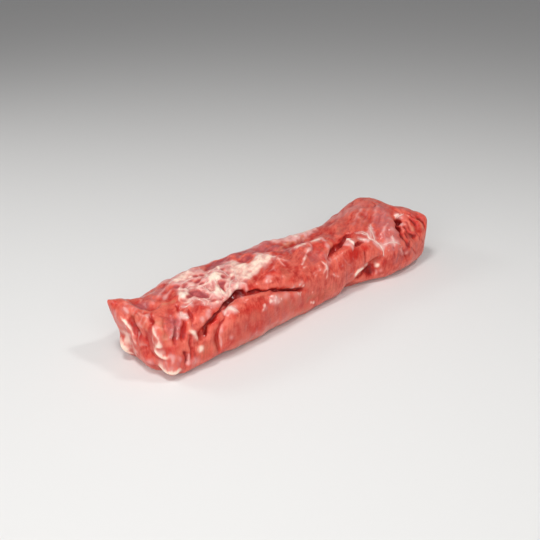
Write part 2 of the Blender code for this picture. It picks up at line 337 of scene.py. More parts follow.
def bundles(flesh):
    """Bundles of muscle with soft seams between them, and low ridges along the fibres."""
    cut = at_cut(flesh)
    strength = 1 - 0.7 * facing_front(flesh) * (1 - cut) - 0.2 * cut
    rise = 0.5 * noise_at(flesh.at, 16, 1)
    for length, by, seed in ((13, 1.7, 2), (7, 0.9, 3), (3.6, 0.25, 4)):
        rise += by * strength * (fibred(flesh, lambda n: np.sqrt(n * n + 0.012), length, seed) - 0.32)
    flesh.at += rise[:, None] * flesh.out


def dress_cut_end(flesh):
    """The cut end: an ear over hanging folds of muscle, with seams and lobes of cream fat."""
    flesh.streak("veil", [(-3, 27, 36), (-3, 26, 34), (-2, 23, 28), (-2, 18, 21)], 3, 0.7)
    flesh.spot("red", (0, 24, 40), (5, 6, 4), 0.9)
    flesh.spot("veil", (1, 15, 40), 4, 0.5)
    flesh.streak("veil", [(-2, 17, 33), (-1, 13, 25), (-1, 9, 17), (0, 5, 11)], 11, 0.75)
    flesh.streak("fat", [(-1, 14, 26), (-1, 12, 19), (0, 8, 12), (0, 2, 12)], 8, 0.65)
    flesh.ridge(
        [(-2, 17, 35), (-2, 12, 33), (-1, 9, 31), (0, 6, 27), (-1, 4, 21), (1, 1, 18)], 2.4, 0.8, "fat", 0.75
    )
    flesh.ridge([(-3, 20, 17), (-3, 17, 13), (-2, 12, 9), (2, 9, 5)], 4, 1.0, "fat", 0.85)

    cut = [(4, 11, 36), (3, 9, 34), (3, 6, 31), (3, 3, 27), (3, -1, 24), (2, -4, 21)]
    flesh.fold_with_painted_shade(cut[:5], 5.5, 1.0, 0.0)
    flesh.streak("red", cut, 7.5, 1.4)
    # Painted shade along the middle of the cut.
    flesh.streak("fold_with_painted_shade", cut[1:4], 2.4, 0.5)
    flesh.ridge([(7, -2, 41), (5, -6, 38), (4, -8, 33), (3, -7, 28)], 3.0, 0.9, "tan", 0.5)
    flesh.fold_with_painted_shade([(9, -5, 41), (8, -8, 39), (7, -13, 37)], 3.4, 0.9, 0.5)
    flesh.streak("red", [(8, -8, 39), (6, -12, 34), (4, -13, 28), (3, -13, 20)], 7, 0.7)
    flesh.ridge([(7, -13, 38), (6, -15, 36), (5, -18, 33), (5, -20, 28), (4, -18, 24)], 1.8, 0.8, "fat", 0.85)
    flesh.ridge([(5, -19, 31), (5, -20, 27), (5, -20, 24)], 3.4, 0.5, "fat", 0.8)
    flesh.ridge([(4, -18, 25), (3, -18, 22), (4, -21, 19), (6, -25, 18), (8, -27, 20)], 2.4, 1.0, "fat", 0.85)
    flesh.spot("veil", (4, -21, 21), 3.4, 1.2)
    flesh.spot("fat", (5, -22, 21), (2.4, 3.6, 2.6), 0.7)
    flesh.spot("red", (2, -13, 16), 5, 0.7)
    flesh.spot("veil", (1, -12, 10), (4, 5, 4), 0.8, 1.2)
    flesh.ridge([(4, -17, 12), (5, -20, 10), (7, -25, 7), (10, -29, 7), (14, -31, 10)], 4, 1.1, "fat", 0.85)
    flesh.streak("veil", [(3, -15, 13), (8, -28, 12), (14, -31, 14)], 7, 0.6)

    flesh.streak("tan", [(13, -11, 40), (10, -15, 37), (8, -20, 32), (8, -23, 27)], 7, 0.9)
    flesh.tint("calm", 0.35 * at_cut(flesh))
    grooves = (
        ([(22, -14, 41), (18, -20, 36), (15, -24, 32), (12, -25, 26)], 2.6, 1.8, 0.7),
        ([(25, -21, 38), (21, -26, 33), (18, -28, 27)], 2.8, 1.6, 0.5),
        ([(14, -13, 40), (11, -18, 36), (9, -22, 31)], 2.0, 0.8, 0.0),
    )
    for route, width, depth, painted_shade in grooves:
        flesh.gash(route, width, depth, painted_shade, 2.6 * width)
    flesh.ridge([(21, -12, 41), (17, -18, 36), (13, -22, 32), (10, -24, 28)], 2.2, 0.9, "mauve", 1.1)
    flesh.ridge([(24, -17, 40), (20, -22, 37), (17, -25, 32), (15, -26, 28)], 2.6, 1.0, "mauve", 1.1)
    flesh.streak("mauve", [(21, -14, 41), (17, -20, 36), (13, -23, 30)], 9, 0.8)
    for across, down in ((-4.5, 0), (-2.6, 1), (-0.4, 0), (1.8, 2), (4.0, 1)):
        top, middle = (22 + across, -15 + across, 39 - down), (17 + across, -21 + 0.8 * across, 35 - down)
        flesh.ridge([top, middle, (13 + across, -25, 29 - down)], 1.3, 0.5, "sinew", 0.4)
    # Painted highlights: glints on the wet ridges between the grooves.
    glint_spots = (
        (20.5, -14, 40.5), (19.5, -16, 39.5), (18, -18, 38), (16.5, -20, 36), (14.5, -22, 34),
        (13, -23.5, 31), (24.5, -18, 40), (23, -20, 38.5), (20.5, -22, 37), (19.5, -24, 35),
        (16.5, -25.5, 32), (15.5, -26, 30),
    )
    flesh.painted_glints(glint_spots, 1.2, 0.6)
    for tone, much, route in (
        ("veil", 0.7, [(4, -5, 35), (6, -5, 39), (9, -2, 41)]),
        ("veil", 0.6, [(3, -1, 36), (3, -5, 33)]),
        ("sinew", 0.5, [(8, -17, 37), (12, -21, 35)]),
        ("tan", 0.8, [(8, -1, 41), (6, -4, 39), (4, -5, 36), (3, -5, 33)]),
        ("tan", 0.8, [(6, -7, 39), (4, -8, 36), (4, -7, 31)]),
        ("veil", 0.8, [(4, -13, 32), (4, -15, 30), (4, -16, 26)]),
        ("veil", 0.8, [(4, 2, 27), (2, 0, 24), (2, 0, 20)]),
        ("veil", 0.9, [(0, 5, 26), (0, 4, 22), (0, 2, 17)]),
        ("veil", 0.9, [(2, 16, 41), (2, 14, 40), (2, 11, 38)]),
        ("veil", 0.7, [(1, 8, 18), (1, 4, 14), (2, 0, 11)]),
        ("sinew", 0.6, [(28, -14, 41), (27, -17, 40), (28, -20, 39), (30, -22, 38)]),
        ("veil", 0.8, [(9, -27, 20), (9, -28, 16), (8, -29, 13)]),
        ("veil", 0.8, [(6, -24, 16), (5, -27, 12), (7, -28, 9)]),
    ):
        flesh.ridge(route, 2.0, 0.4, tone, much)
    for route in (
        [(6, 8, 41), (7, 2, 41), (7, -3, 40)],
        [(4, 8, 39), (4, 2, 39), (4, -2, 37)],
        [(1, -1, 14), (2, -8, 20), (4, -13, 24)],
        [(3, -12, 20), (3, -16, 16), (4, -20, 15), (6, -25, 16)],
        [(12, -1, 40), (9, -7, 39), (8, -12, 39)],
        [(4, -8, 33), (3, -7, 26), (3, -10, 23)],
    ):
        flesh.gash(route, 1.8, 0.7, 0.3, 4, 0.8)
    flesh.spot("veil", (9, -28, 19), (4, 4, 3.4), 0.9)
    flesh.spot("veil", (13, -30, 17), 3, 0.7)


def dress_corner(flesh):
    """The near corner of the cut end, and where the slab starts."""
    for route in (
        [(32, -15, 42), (31, -19, 40), (30, -22, 38), (29, -25, 34)],
        [(28, -8, 43), (25, -14, 41)],
        [(24, -28, 31), (23, -29, 26), (23, -30, 20), (22, -31, 11)],
    ):
        flesh.gash(route, 2.6, 1.3, 0.5, 6, 0.8)
    flesh.fold_with_painted_shade([(17, -29, 22), (19, -29, 16), (17, -30, 10)], 2.0, 1.1, 0.8)
    flesh.ridge([(20, -30, 19), (20, -30, 12), (19, -30, 8)], 2.6, 0.6, "veil", 0.9)
    flesh.ridge([(28, -22, 38), (26, -26, 34), (24, -28, 30)], 3, 0.8, "tan", 0.7)
    flesh.ridge([(24, -27, 34), (26, -27, 32), (28, -28, 27), (29, -29, 23)], 2.8, 0.9, "fat", 0.7)
    flesh.spot("fat", (30, -30.5, 17), (3, 3, 3.6), 0.85, 1.2)
    flesh.spot("veil", (25, -31, 10), (5, 4, 4), 0.8, 0.6)
    flesh.spot("tan", (34, -30, 14), (8, 5, 8), 0.8)
    flesh.spots("veil", ((43, -25, 39), (41, -26, 37), (36, -26, 36), (48, -20, 42)), 2.6, 0.9, 0.5)
    flesh.spots("red", ((40, -20, 42), (33, -22, 40), (24, -24, 36)), (5, 5, 4), 0.8, -0.6)
    flesh.ridge([(53, -29, 33), (55, -27, 35), (60, -28, 37)], 2.2, 0.5, "fat", 0.6)
    flesh.ridge([(58, -28, 37), (61, -30, 35), (63, -32, 33)], 1.8, 0.5, "fat", 0.5)
    flesh.spot("veil", (58, -29, 35), (5, 4, 4), 0.3)
    flesh.spot("veil", (54, -34, 18), (2.6, 3, 3), 0.8, 0.3)


def dress_front(flesh):
    """The front: the long fold over the thick slab of muscle, red above and paler below."""
    flesh.ridge([(62, -21, 34), (54, -24, 33), (46, -27, 31)], 3.4, 1.4)
    pocket = [
        (78, -20, 40), (72, -19, 39), (65, -20, 38.5), (57, -22, 37), (51, -24, 36), (45, -25, 34),
        (40, -26, 30), (35, -27, 26),
    ]
    flesh.streak("red", pocket, 8, 0.9)
    flesh.fold_with_painted_shade(pocket, 3.0, 1.8, ends=0.08)
    flesh.fold_with_painted_shade(pocket[:5], 5.0, 1.0)
    # Painted shade: dark red patches in the deepest part of the pocket, which are also pressed lower.
    flesh.spots("fold_with_painted_shade", ((76, -19.5, 38), (71, -19.5, 37.5), (66, -20, 36.5)), (4.6, 3.6, 3.6), 1.4, -0.9)
    flesh.spot("fold_with_painted_shade", (36, -28, 26), 3, 1.0, -1.0)
    long_fold = [
        (79, -21, 38), (83, -22, 37), (87, -23, 37), (92, -24, 35), (102, -26, 33), (110, -28, 31),
        (118, -28, 28), (126, -29, 26), (131, -31, 24),
    ]
    flesh.streak("red", long_fold, 4.5, 1.0)
    flesh.fold_with_painted_shade(long_fold, 1.8, 1.6, 1.5, ends=0.3)
    flesh.fold_with_painted_shade(long_fold[:4], 2.8, 1.0)
    flesh.ridge([(82, -16, 43), (80, -20, 41), (78, -21, 37)], 2.6, 0.8, "veil", 0.8)
    flesh.ridge([(96, -23, 37), (96, -25, 35), (97, -27, 33)], 1.8, 1.0, "veil", 0.8)
    flesh.ridge([(57, -25, 35), (50, -28, 33), (44, -29, 32), (37, -30, 27)], 3.4, 0.8)
    flesh.fold_with_painted_shade(
        [(55, -27, 34), (51, -30, 32), (47, -31, 29), (45, -31, 25), (44, -31, 20), (44, -31, 15)],
        1.7, 1.0, 0.6,
    )
    flesh.ridge(
        [(50, -31, 30), (47, -32, 26), (46, -32, 22), (46, -32, 16), (47, -32, 9)], 2.0, 0.5, "veil", 0.9
    )
    flesh.on_front("red", [(62, 33), (72, 37), (86, 34), (98, 28), (88, 24), (70, 27)], 5, 0.8)
    # The pale veil spots here on the slab's top edge are painted highlights, where the wet surface glints.
    flesh.spot("veil", (96, -33, 30), (7, 5, 4), 1.1, 0.6)
    flesh.spot("veil", (107, -32, 29), (7, 5, 3), 0.7, 0.3)
    flesh.spot("red", (106, -18, 43), (17, 8, 6), 0.85)
    flesh.spot("veil", (119, -32, 26), (5, 5, 3), 0.6, 0.4)
    flesh.spot("veil", (86, -34, 28), (4, 4, 3), 0.6, 0.3)
    flesh.spot("mauve", (105, -33, 13), (7, 5, 6), 0.6)
    flesh.spot("tan", (135, -31, 16), (12, 5, 5), 0.7)
    # Painted highlights: a cluster of glints along the slab's top edge.
    glint_spots = (
        (94, -32, 33), (97, -32, 31.5), (94.5, -33, 29.5), (91, -33, 31), (98, -33, 28), (85, -33, 30),
        (83, -34, 28), (102, -33, 29), (120, -31, 26), (122, -31, 23.5), (125, -31, 25), (135, -31, 11),
        (138, -31, 10),
    )
    flesh.painted_glints(glint_spots, 1.8, 0.9)
    flesh.streak("veil", [(53, -34, 10), (71, -34, 9), (91, -33, 8), (106, -33, 8), (123, -31, 8)], 9, 0.5)
    slab = eased((flesh.at[:, 0] - 48) / 10) * eased((150 - flesh.at[:, 0]) / 25)
    slab *= eased((32 - flesh.at[:, 2]) / 8) * eased((0 - flesh.out[:, 1]) / 0.4)
    along = flesh.seen[:, 0] + 0.25 * flesh.seen[:, 2]
    waves = np.sin(2 * math.pi * along / 9.5 + 2.4 * noise_at(flesh.at * (1, 0.3, 0.3), 18, 7))
    flesh.at += (0.12 * slab * waves)[:, None] * flesh.out
    flesh.tint("calm", 0.72 * slab)
    striped = 0.25 + 0.35 * eased(0.3 - waves)
    flesh.tint("red", slab * striped * eased((flesh.at[:, 2] - 6) / 14))
    flesh.tint("tan", 0.6 * slab * eased((16 - flesh.at[:, 2]) / 10))


def dress_slope(flesh):
    """The bare slope from the ear up to the fat, streaked with silverskin."""
    flesh.on_top(
        "red", [(16, 6), (25, 16), (36, 24), (45, 21), (42, 14), (35, 6), (32, -3), (26, -4), (21, -1)],
        5, 0.45,
    )
    flesh.streak("mauve", [(14, 14, 41), (26, 14, 43), (38, 18, 44)], 12, 0.6)
    # Painted shade: a dark mauve patch in the dip behind the ear, which is also pressed lower.
    flesh.spot("mauve", (12, 11, 40), (8, 7, 5), 1.1, -0.8)
    flesh.streak("veil", [(16, 4, 39), (25, 11, 43), (39, 26, 40)], 5, 0.45)
    flesh.streak("tan", [(20, -1, 41), (23, -3, 42), (26, -4, 43), (32, -4, 43)], 3, 0.8)
    for route in ([(22, 8, 41), (30, 12, 43), (40, 16, 44)], [(24, 3, 42), (31, 6, 43), (37, 8, 44)]):
        flesh.ridge(route, 2.6, 0.4, "veil", 0.8)


def dress_fat(flesh):
    """The fat on the top by the cut end: solid at both ends, and between them an open net
    of cords in a pale haze, with the dark muscle in its windows."""
    outline = [
        (40, 22), (48, 27), (60, 25), (67, 19), (67, 9), (72, 8), (80, 7), (90, 12), (95, 10), (94, 4),
        (98, -1), (105, 1), (112, 4), (117, 2), (119, -4), (113, -8), (104, -10), (94, -13), (82, -17),
        (77, -20), (71, -20), (63, -22), (55, -24), (47, -24), (44, -20), (43, -14), (37, -13), (33, -11),
        (33, -5), (36, 3), (38, 10),
    ]
    inside = flesh.from_above(outline, 3.4)
    solid = 0.2 * noise_at(flesh.at, 8, 23) + eased((flesh.at[:, 0] - 80) / 14)
    for centre, reach in (
        ((50, 16), (9, 7)),
        ((36, -4), (5, 6)),
        ((60, -15), (6, 5)),
        ((66, -1), (5, 4)),
        ((92, -6), (18, 9)),
    ):
        solid += np.exp(-(((flesh.at[:, :2] - centre) / reach) ** 2).sum(1))
    solid = np.clip(solid, 0, 1)
    flesh.at += (flesh.spread(flesh.at, 10) - flesh.at) * (0.8 * inside * solid)[:, None]
    strands = eased(1 - np.abs(noise_at(flesh.seen, 9, 21)) / 0.4)
    fat = inside * np.clip(0.05 + 0.95 * solid + 0.26 * strands + 0.3 * noise_at(flesh.at, 4, 24), 0, 1)
    lumps = (0.5 - 0.25 * solid) * inside * noise_at(flesh.at, 3.4, 25)
    flesh.at += (1.1 * (fat - 0.4 * inside) + lumps)[:, None] * flesh.out
    flesh.tint("fat", fat)
    flesh.tint("veil", inside)
    flesh.tint("web", inside * (1 - 0.8 * solid))
    fringe = [
        (34, 24), (44, 33), (66, 33), (96, 32), (128, 27), (128, 16), (98, 24), (70, 20), (52, 27), (42, 21)
    ]
    flesh.on_top("veil", fringe, 3, 1.0)
    flesh.spot("fat", (48, 17, 44), (9, 5, 5), 1.1, 0.4)
    flesh.opening(
        [(69, 12), (74, 18), (83, 23), (95, 19), (95, 15), (89, 12), (80, 10), (72, 9)], 1.5, 1.0, 1.2
    )
    flesh.opening([(97, 8), (102, 10), (108, 9), (108, 4), (103, 2), (98, 3)], 1.5, 0.85, 0.9)
    flesh.opening(
        [(43, -2), (47, -2), (49, -4), (51, -9), (52, -13), (50, -15), (47, -14), (44, -11), (42, -6)],
        0.7, 1.1, 1.2,
    )
    flesh.opening([(66, -6), (70, -8), (67, -11), (64, -14), (61, -18), (62, -13)], 0.8, 1.0, 1.0)
    for centre, reach in (
        ((45, 5, 45), (3.2, 2.8, 5)),
        ((40, 8, 45), (2.6, 3.0, 5)),
        ((58, 10, 47), (3.0, 2.6, 5)),
        ((55, 4, 46), (3.4, 2.2, 5)),
        ((63, 8, 47), (2.4, 2.0, 5)),
        ((51, 7, 46), (2.2, 2.0, 5)),
        ((70, 12, 47), (2.4, 2.0, 5)),
        ((78, 4, 46), (2.8, 2.0, 5)),
        ((77, -2, 46), (3.2, 2.4, 5)),
        ((72, -4, 45), (2.6, 2.0, 5)),
        ((78, -8, 45), (2.2, 1.8, 5)),
        ((55, -1, 46), (2.4, 1.8, 5)),
        ((39, -7, 44), (3.4, 2.4, 5)),
        ((51, -20, 43), (3.4, 1.8, 5)),
        ((56, -20, 43), (2.4, 1.6, 5)),
    ):
        flesh.window(centre, reach)
    for cord in (
        [(43, 1, 44), (46, 1, 44), (50, -1, 45), (53, -5, 44), (53, -10, 45), (53, -17, 44)],
        [(37, -11, 44), (41, -11, 44), (44, -14, 43), (45, -17, 43), (44, -20, 42)],
        [(37, 4, 44), (42, 3, 44), (44, -2, 45)],
        [(34, -3, 43), (32, -8, 43), (34, -11, 43), (38, -12, 43)],
        [(64, -3, 45), (61, -9, 45), (58, -16, 44), (56, -21, 42)],
        [(71, -9, 45), (66, -15, 44), (61, -19, 43)],
        [(65, 11, 47), (63, 3, 47), (60, -4, 46), (57, -10, 45)],
        [(79, 13, 46), (75, 5, 46), (71, -2, 46), (66, -5, 45)],
        [(92, 11, 45), (85, 3, 46), (81, -4, 45), (73, -9, 45)],
        [(101, 0, 46), (89, -6, 45), (78, -13, 44), (70, -18, 42)],
        [(52, -2, 45), (57, -3, 46), (63, -3, 46), (69, -3, 46)],
    ):
        flesh.ridge(cord, 1.5, 0.5, "fat", 0.75)
    flesh.spot("sinew", (36, -4, 44), 3, 0.5, 0.8)


def dress_top(flesh):
    """The top past the fat: bare muscle that bunches up in lobes, and a rolled edge at the back."""
    band = [(134, 17, 45), (144, 16, 44), (157, 15, 43), (166, 15, 42), (176, 16, 41), (187, 16, 41)]
    flesh.ridge(band, 9, 0.8, "veil", 1.7)
    flesh.streak("sinew", band, 9, 0.45)
    flesh.streak("fat", [(x, y + 1, z) for x, y, z in band[2:]], 6, 0.7)
    flesh.streak("veil", [(x, y + 6, z) for x, y, z in band], 10, 1.3)
    flesh.ridge(
        [(90, 22, 45), (104, 19, 45), (118, 18, 45), (130, 17, 45), (138, 16, 45)], 12, 0.6, "mauve", 1.1
    )
    flesh.streak("veil", [(96, 21, 45), (110, 20, 45), (124, 19, 45), (136, 18, 45)], 5, 0.6)
    flesh.streak("mauve", [(106, 12, 46), (116, 12, 45), (124, 11, 44), (134, 10, 44), (141, 10, 44)], 9, 1.1)
    flesh.ridge(
        [(126, 3, 44), (134, 5, 43), (145, 8, 43), (160, 11, 42), (171, 12, 41), (179, 10, 41)],
        4.4, 1.3, "tan", 0.9,
    )
    flesh.streak("tan", [(139, 9, 44), (150, 9, 43), (160, 10, 42), (171, 11, 41)], 8, 1.1)
    flesh.fold_with_painted_shade([(131, -1, 45), (138, 0, 44), (147, 2, 44), (156, 5, 43), (164, 7, 41)], 3.8, 2.4, 0.8)
    flesh.streak("mauve", [(131, -1, 45), (138, 0, 44), (147, 2, 44), (156, 5, 43), (166, 8, 41)], 10, 1.1)
    for lobe, reach, rise in (
        ((149, -9, 43), (7, 6, 5), 1.4),
        ((165, -9, 43), (7, 7, 5), 1.2),
        ((121, -10, 45), (6, 6, 5), 0.9),
        ((110, -2, 46), 5, 0.6),
    ):
        flesh.spot(None, lobe, reach, rise=rise)
    flesh.ridge(
        [(141, -7, 45), (148, -4, 46), (156, -4, 44), (156, -7, 43), (147, -12, 42), (141, -17, 41)],
        3.0, 0.6, "veil", 0.85,
    )
    flesh.ridge(
        [(157, -7, 43), (167, -3, 43), (172, -4, 42), (170, -11, 42), (166, -17, 40)], 3.6, 0.6, "veil", 0.85
    )
    flesh.streak("fat", [(143, -6, 45), (148, -4, 46), (155, -4, 44)], 2.4, 0.7)
    flesh.streak("fat", [(159, -6, 43), (167, -3, 43), (171, -5, 42)], 2.6, 0.7)
    flesh.streak("tan", [(172, -6, 43), (173, -12, 42), (169, -18, 40)], 4, 0.7)
    flesh.streak("veil", [(161, -18, 40), (160, -22, 38), (158, -25, 35), (154, -28, 32)], 3.5, 0.8)
    flesh.streak("veil", [(105, -10, 45), (110, -9, 45)], 6, 0.6)
    flesh.streak("fat", [(112, 4, 46), (117, 1, 47), (118, -4, 47), (123, -6, 46)], 2.4, 0.6)
    for wisp in (
        [(122, -6, 46), (119, -11, 45), (119, -14, 44), (121, -18, 43)],
        [(118, -10, 45), (123, -13, 44), (126, -14, 44), (127, -16, 43)],
        [(139, -28, 33), (145, -28, 34), (151, -27, 34)],
        [(140, -29, 31), (145, -28, 32)],
        [(149, -29, 30), (152, -28, 32), (155, -26, 34), (158, -23, 37)],
        [(133, -21, 40), (139, -18, 41), (144, -14, 42)],
        [(132, -24, 39), (138, -22, 39)],
        [(151, -30, 24), (155, -28, 31), (155, -25, 35), (154, -22, 38)],
        [(158, -29, 28), (162, -30, 25), (166, -31, 22)],
        [(136, -18, 41), (144, -15, 42), (153, -9, 43)],
        [(161, -22, 38), (164, -19, 39), (168, -15, 41)],
    ):
        flesh.ridge(wisp, 1.7, 0.4, "sinew", 0.62)
    flesh.spot("veil", (150, -18, 40), (13, 8, 7), 0.5)
    flesh.spots(
        "red", (
            (124, -25, 39), (116, -29, 37), (130, -28, 35), (158, -12, 42), (150, -17, 40), (143, -26, 34),
            (120, -17, 44),
        ),
        (6, 6, 5), 0.7, -0.5,
    )
    # Painted highlights: pale patches where the wet surface glints, with the glint spots below.
    flesh.spots(
        "veil", ((101, -21, 42), (98, -22, 41), (124, -29, 32), (117, -29, 31)), (3, 3, 2.5), 0.9, 0.4
    )
    # Painted highlights: glints along the top edge.
    glint_spots = (
        (100, -21, 41), (100, -24, 40), (97, -22, 41), (102, -19, 42), (111, -25, 41), (124, -28, 33),
        (123, -30, 31), (126, -30, 29), (136, -31, 20),
    )
    flesh.painted_glints(glint_spots, 1.6, 0.75)


def dress_thick_end(flesh):
    """The thick end: torn folds, a branching white sinew, a veil of silverskin, and cut crags."""
    tear = [
        (163, -20, 36), (170, -17, 38), (177, -16, 39), (185, -14, 39), (190, -12, 41), (197, -11, 42),
        (203, -12, 42),
    ]
    flesh.gash(tear, 4.0, 1.6, 0.8, 10)
    flesh.fold_with_painted_shade([(191, -24, 38), (195, -23, 39), (199, -22, 39), (204, -21, 40)], 4.2, 2.2)
    flesh.ridge([(193, -13, 41), (190, -19, 41), (190, -24, 39)], 3.6, 1.3, "sinew", 1.3)
    flesh.ridge([(187, -17, 40), (186, -22, 39), (188, -26, 38)], 4.0, 0.6, "veil", 1.1)
    flesh.fold_with_painted_shade([(199, -27, 33), (198, -29, 30), (197, -30, 26), (198, -30, 22)], 2.4, 1.3, 0.7)
    flesh.spot("red", (185, -28, 34), (12, 7, 7), 1.25)
    flesh.spot("calm", (188, -28, 33), (26, 9, 11), 0.6)
    flesh.spot("red", (199, -27, 35), (6, 6, 5), 0.9)
    veil = [
        (245, 6), (256, 4), (250, -8), (243, -16), (240, -26), (236, -42), (216, -42), (218, -28), (222, -17),
        (231, -5),
    ]
    flesh.on_top("veil", veil, 6, 0.35)
    flesh.on_top("mauve", veil, 6, 0.65)
    flesh.spots("veil", ((232, -27, 41), (226, -35, 34), (230, -36, 33), (221, -32, 36)), 4, 0.8, 0.3)
    for streak in (
        [(253, 9, 48), (243, 0, 48), (234, -8, 48), (220, -15, 43)],
        [(247, -3, 49), (236, -15, 47), (228, -19, 44)],
        [(248, -9, 48), (239, -20, 45), (229, -28, 40), (222, -33, 35)],
        [(240, 8, 47), (228, -2, 46), (214, -8, 45)],
        [(226, 4, 45), (214, -2, 45), (203, -6, 44)],
    ):
        flesh.ridge(streak, 4.5, 0.3, "veil", 0.47)
    for route in (
        [(207, -13, 42), (210, -17, 42), (209, -23, 39), (213, -27, 35), (215, -31, 32), (215, -35, 24)],
        [(218, -13, 43), (217, -17, 42), (214, -23, 39)],
        [(199, -18, 41), (205, -22, 39), (209, -25, 38)],
        [(229, -29, 40), (227, -33, 36), (226, -36, 31)],
        [(216, -31, 33), (220, -32, 34), (226, -34, 34), (233, -37, 31)],
    ):
        flesh.streak("sinew", route, 1.8, 0.55)
    for pale in (
        [(249, 1, 49), (237, -5, 48), (229, -8, 46)],
        [(236, 10, 48), (224, 4, 47), (212, -1, 45)],
        [(227, -11, 44), (217, -16, 43), (209, -19, 41)],
        [(235, -21, 45), (227, -23, 42), (221, -26, 38)],
    ):
        flesh.ridge(pale, 2.2, 0.45, "veil", 0.72)
    for crease in (
        [(242, -10, 48), (232, -14, 46), (226, -17, 43)],
        [(235, 1, 48), (223, -4, 46), (215, -9, 44)],
        [(225, 8, 47), (215, 4, 45), (205, -1, 44)],
        [(225, -34, 34), (225, -37, 28), (227, -38, 21)],
        [(233, -38, 30), (238, -38, 22), (241, -38, 15)],
        [(246, -36, 30), (250, -38, 22), (257, -37, 14)],
        [(233, -33, 37), (235, -36, 33)],
        [(263, -33, 31), (263, -36, 26), (267, -35, 20)],
    ):
        flesh.gash(crease, 1.8, 0.7, 0.35, 4, 0.5)
    flesh.streak("mauve", [(233, -9, 47), (228, -12, 44), (225, -17, 43)], 3.5, 0.8)
    flesh.streak("mauve", [(241, -12, 47), (237, -16, 46), (235, -19, 45)], 3, 0.8)
    flesh.on_top("mauve", [(182, -3), (199, 1), (211, 3), (206, -7), (194, -9), (181, -11)], 5, 0.4)
    flesh.on_top("veil", [(205, 30), (228, 26), (246, 20), (246, 10), (228, 8), (205, 16)], 7, 0.6)
    flesh.fold_with_painted_shade([(251, 12, 48), (249, 6, 48), (243, 2, 48)], 2.2, 1.0, 0.6)
    flesh.spot("red", (256, -8, 47), (6, 5, 4), 0.9)
    flesh.fold_with_painted_shade([(251, -18, 43), (247, -22, 41), (243, -25, 40), (239, -29, 38)], 2.8, 1.2, 0.8)
    # Painted shade: two dark pits, pressed deep, with dark red painted into them.
    flesh.spot("fold_with_painted_shade", (248, -21, 41.5), (4.0, 2.7, 3.8), 2.6, -4.0)
    flesh.spot("fold_with_painted_shade", (241.5, -26.5, 39), (2.9, 3.8, 3.8), 2.6, -4.2)
    flesh.ridge([(247, -15, 44), (250, -17, 45), (254, -18, 45)], 2.6, 0.8, "sinew", 0.9)
    for crevice in (
        [(257, -24, 43), (258, -26, 42), (260, -29, 40), (261, -32, 35)],
        [(249, -27, 41), (248, -32, 36), (252, -35, 31), (257, -36, 27)],
        [(242, -27, 38), (239, -33, 36), (241, -37, 30), (248, -38, 23)],
        [(266, -27, 42), (269, -31, 38), (270, -34, 32)],
    ):
        flesh.gash(crevice, 3.0, 1.8, 0.9, 9)
    for line in (
        [(254, -26, 42), (255, -30, 38), (255, -34, 34)],
        [(245, -29, 39), (249, -34, 33), (254, -36, 25)],
        [(262, -26, 43), (265, -31, 38), (266, -34, 32)],
    ):
        flesh.ridge(line, 2.4, 0.8, "tan", 0.8)
    for route in (
        [(251, -24, 43), (253, -28, 40), (253, -32, 36)],
        [(259, -21, 45), (262, -25, 43), (264, -29, 40)],
        [(243, -31, 37), (246, -35, 31), (250, -37, 25)],
        [(258, -32, 35), (260, -35, 29), (262, -36, 23)],
        [(268, -22, 42), (271, -26, 39), (273, -30, 34)],
    ):
        flesh.fold_with_painted_shade(route, 1.8, 1.0, 0.6)
    flesh.spot("red", (262, -22, 44), (7, 7, 5), 0.8)
    flesh.spot("red", (256, -31, 35), (12, 8, 13), 0.6)
    flesh.on_front("red", [(204, 26), (220, 36), (242, 34), (252, 20), (246, 6), (212, 6)], 6, 0.45)
    flesh.spot("red", (264, -28, 38), (14, 9, 13), 1.1)
    flesh.streak("veil", [(227, -38, 28), (230, -38, 28), (234, -38, 24), (233, -38, 21)], 2.2, 0.7)
    flesh.spot("mauve", (228, -38, 18), 5, 0.8)
    flesh.spot("red", (216, -35, 18), (6, 5, 5), 0.9)
    # Painted highlights: glints on the thick end's front.
    flesh.painted_glints(
        (
            (217, -34, 28), (220, -35, 29), (222, -36, 26), (217, -35, 25), (225, -37, 28), (221, -34, 31),
            (234, -38, 28),
        ),
        1.6, 0.6,
    )
    flesh.fold_with_painted_shade([(189, -31, 10), (198, -28, 13), (203, -29, 16), (209, -30, 18)], 3.2, 2.2, 0.6)
    # Painted shade: the dark hollow of the notch under the fat lip, which is also pressed lower.
    flesh.spot("fold_with_painted_shade", (205, -29, 12), (6, 5, 5.5), 1.25, -1.8)
    flesh.spot("red", (206, -29, 13), (8, 5, 7), 1.2)
    flesh.spot("fold_with_painted_shade", (205, -28, 15), (5, 4, 5), 0.6)
    flesh.lip(
        [(183, -31, 17), (189, -31, 19), (194, -30, 20), (200, -28, 20), (206, -26, 19)], 2.8, 0.9, "fat", 1.1
    )
    flesh.spot("fat", (211, -32, 17), (2.4, 3, 3.2), 0.9, 1.2)
    flesh.streak("veil", [(210, -31, 14), (211, -32, 11), (210, -32, 7)], 1.8, 0.7)
    flesh.spots("veil", ((214, -34, 12), (241, -38, 21), (236, -38, 21)), (2.4, 3, 2.4), 0.8, 0.3)


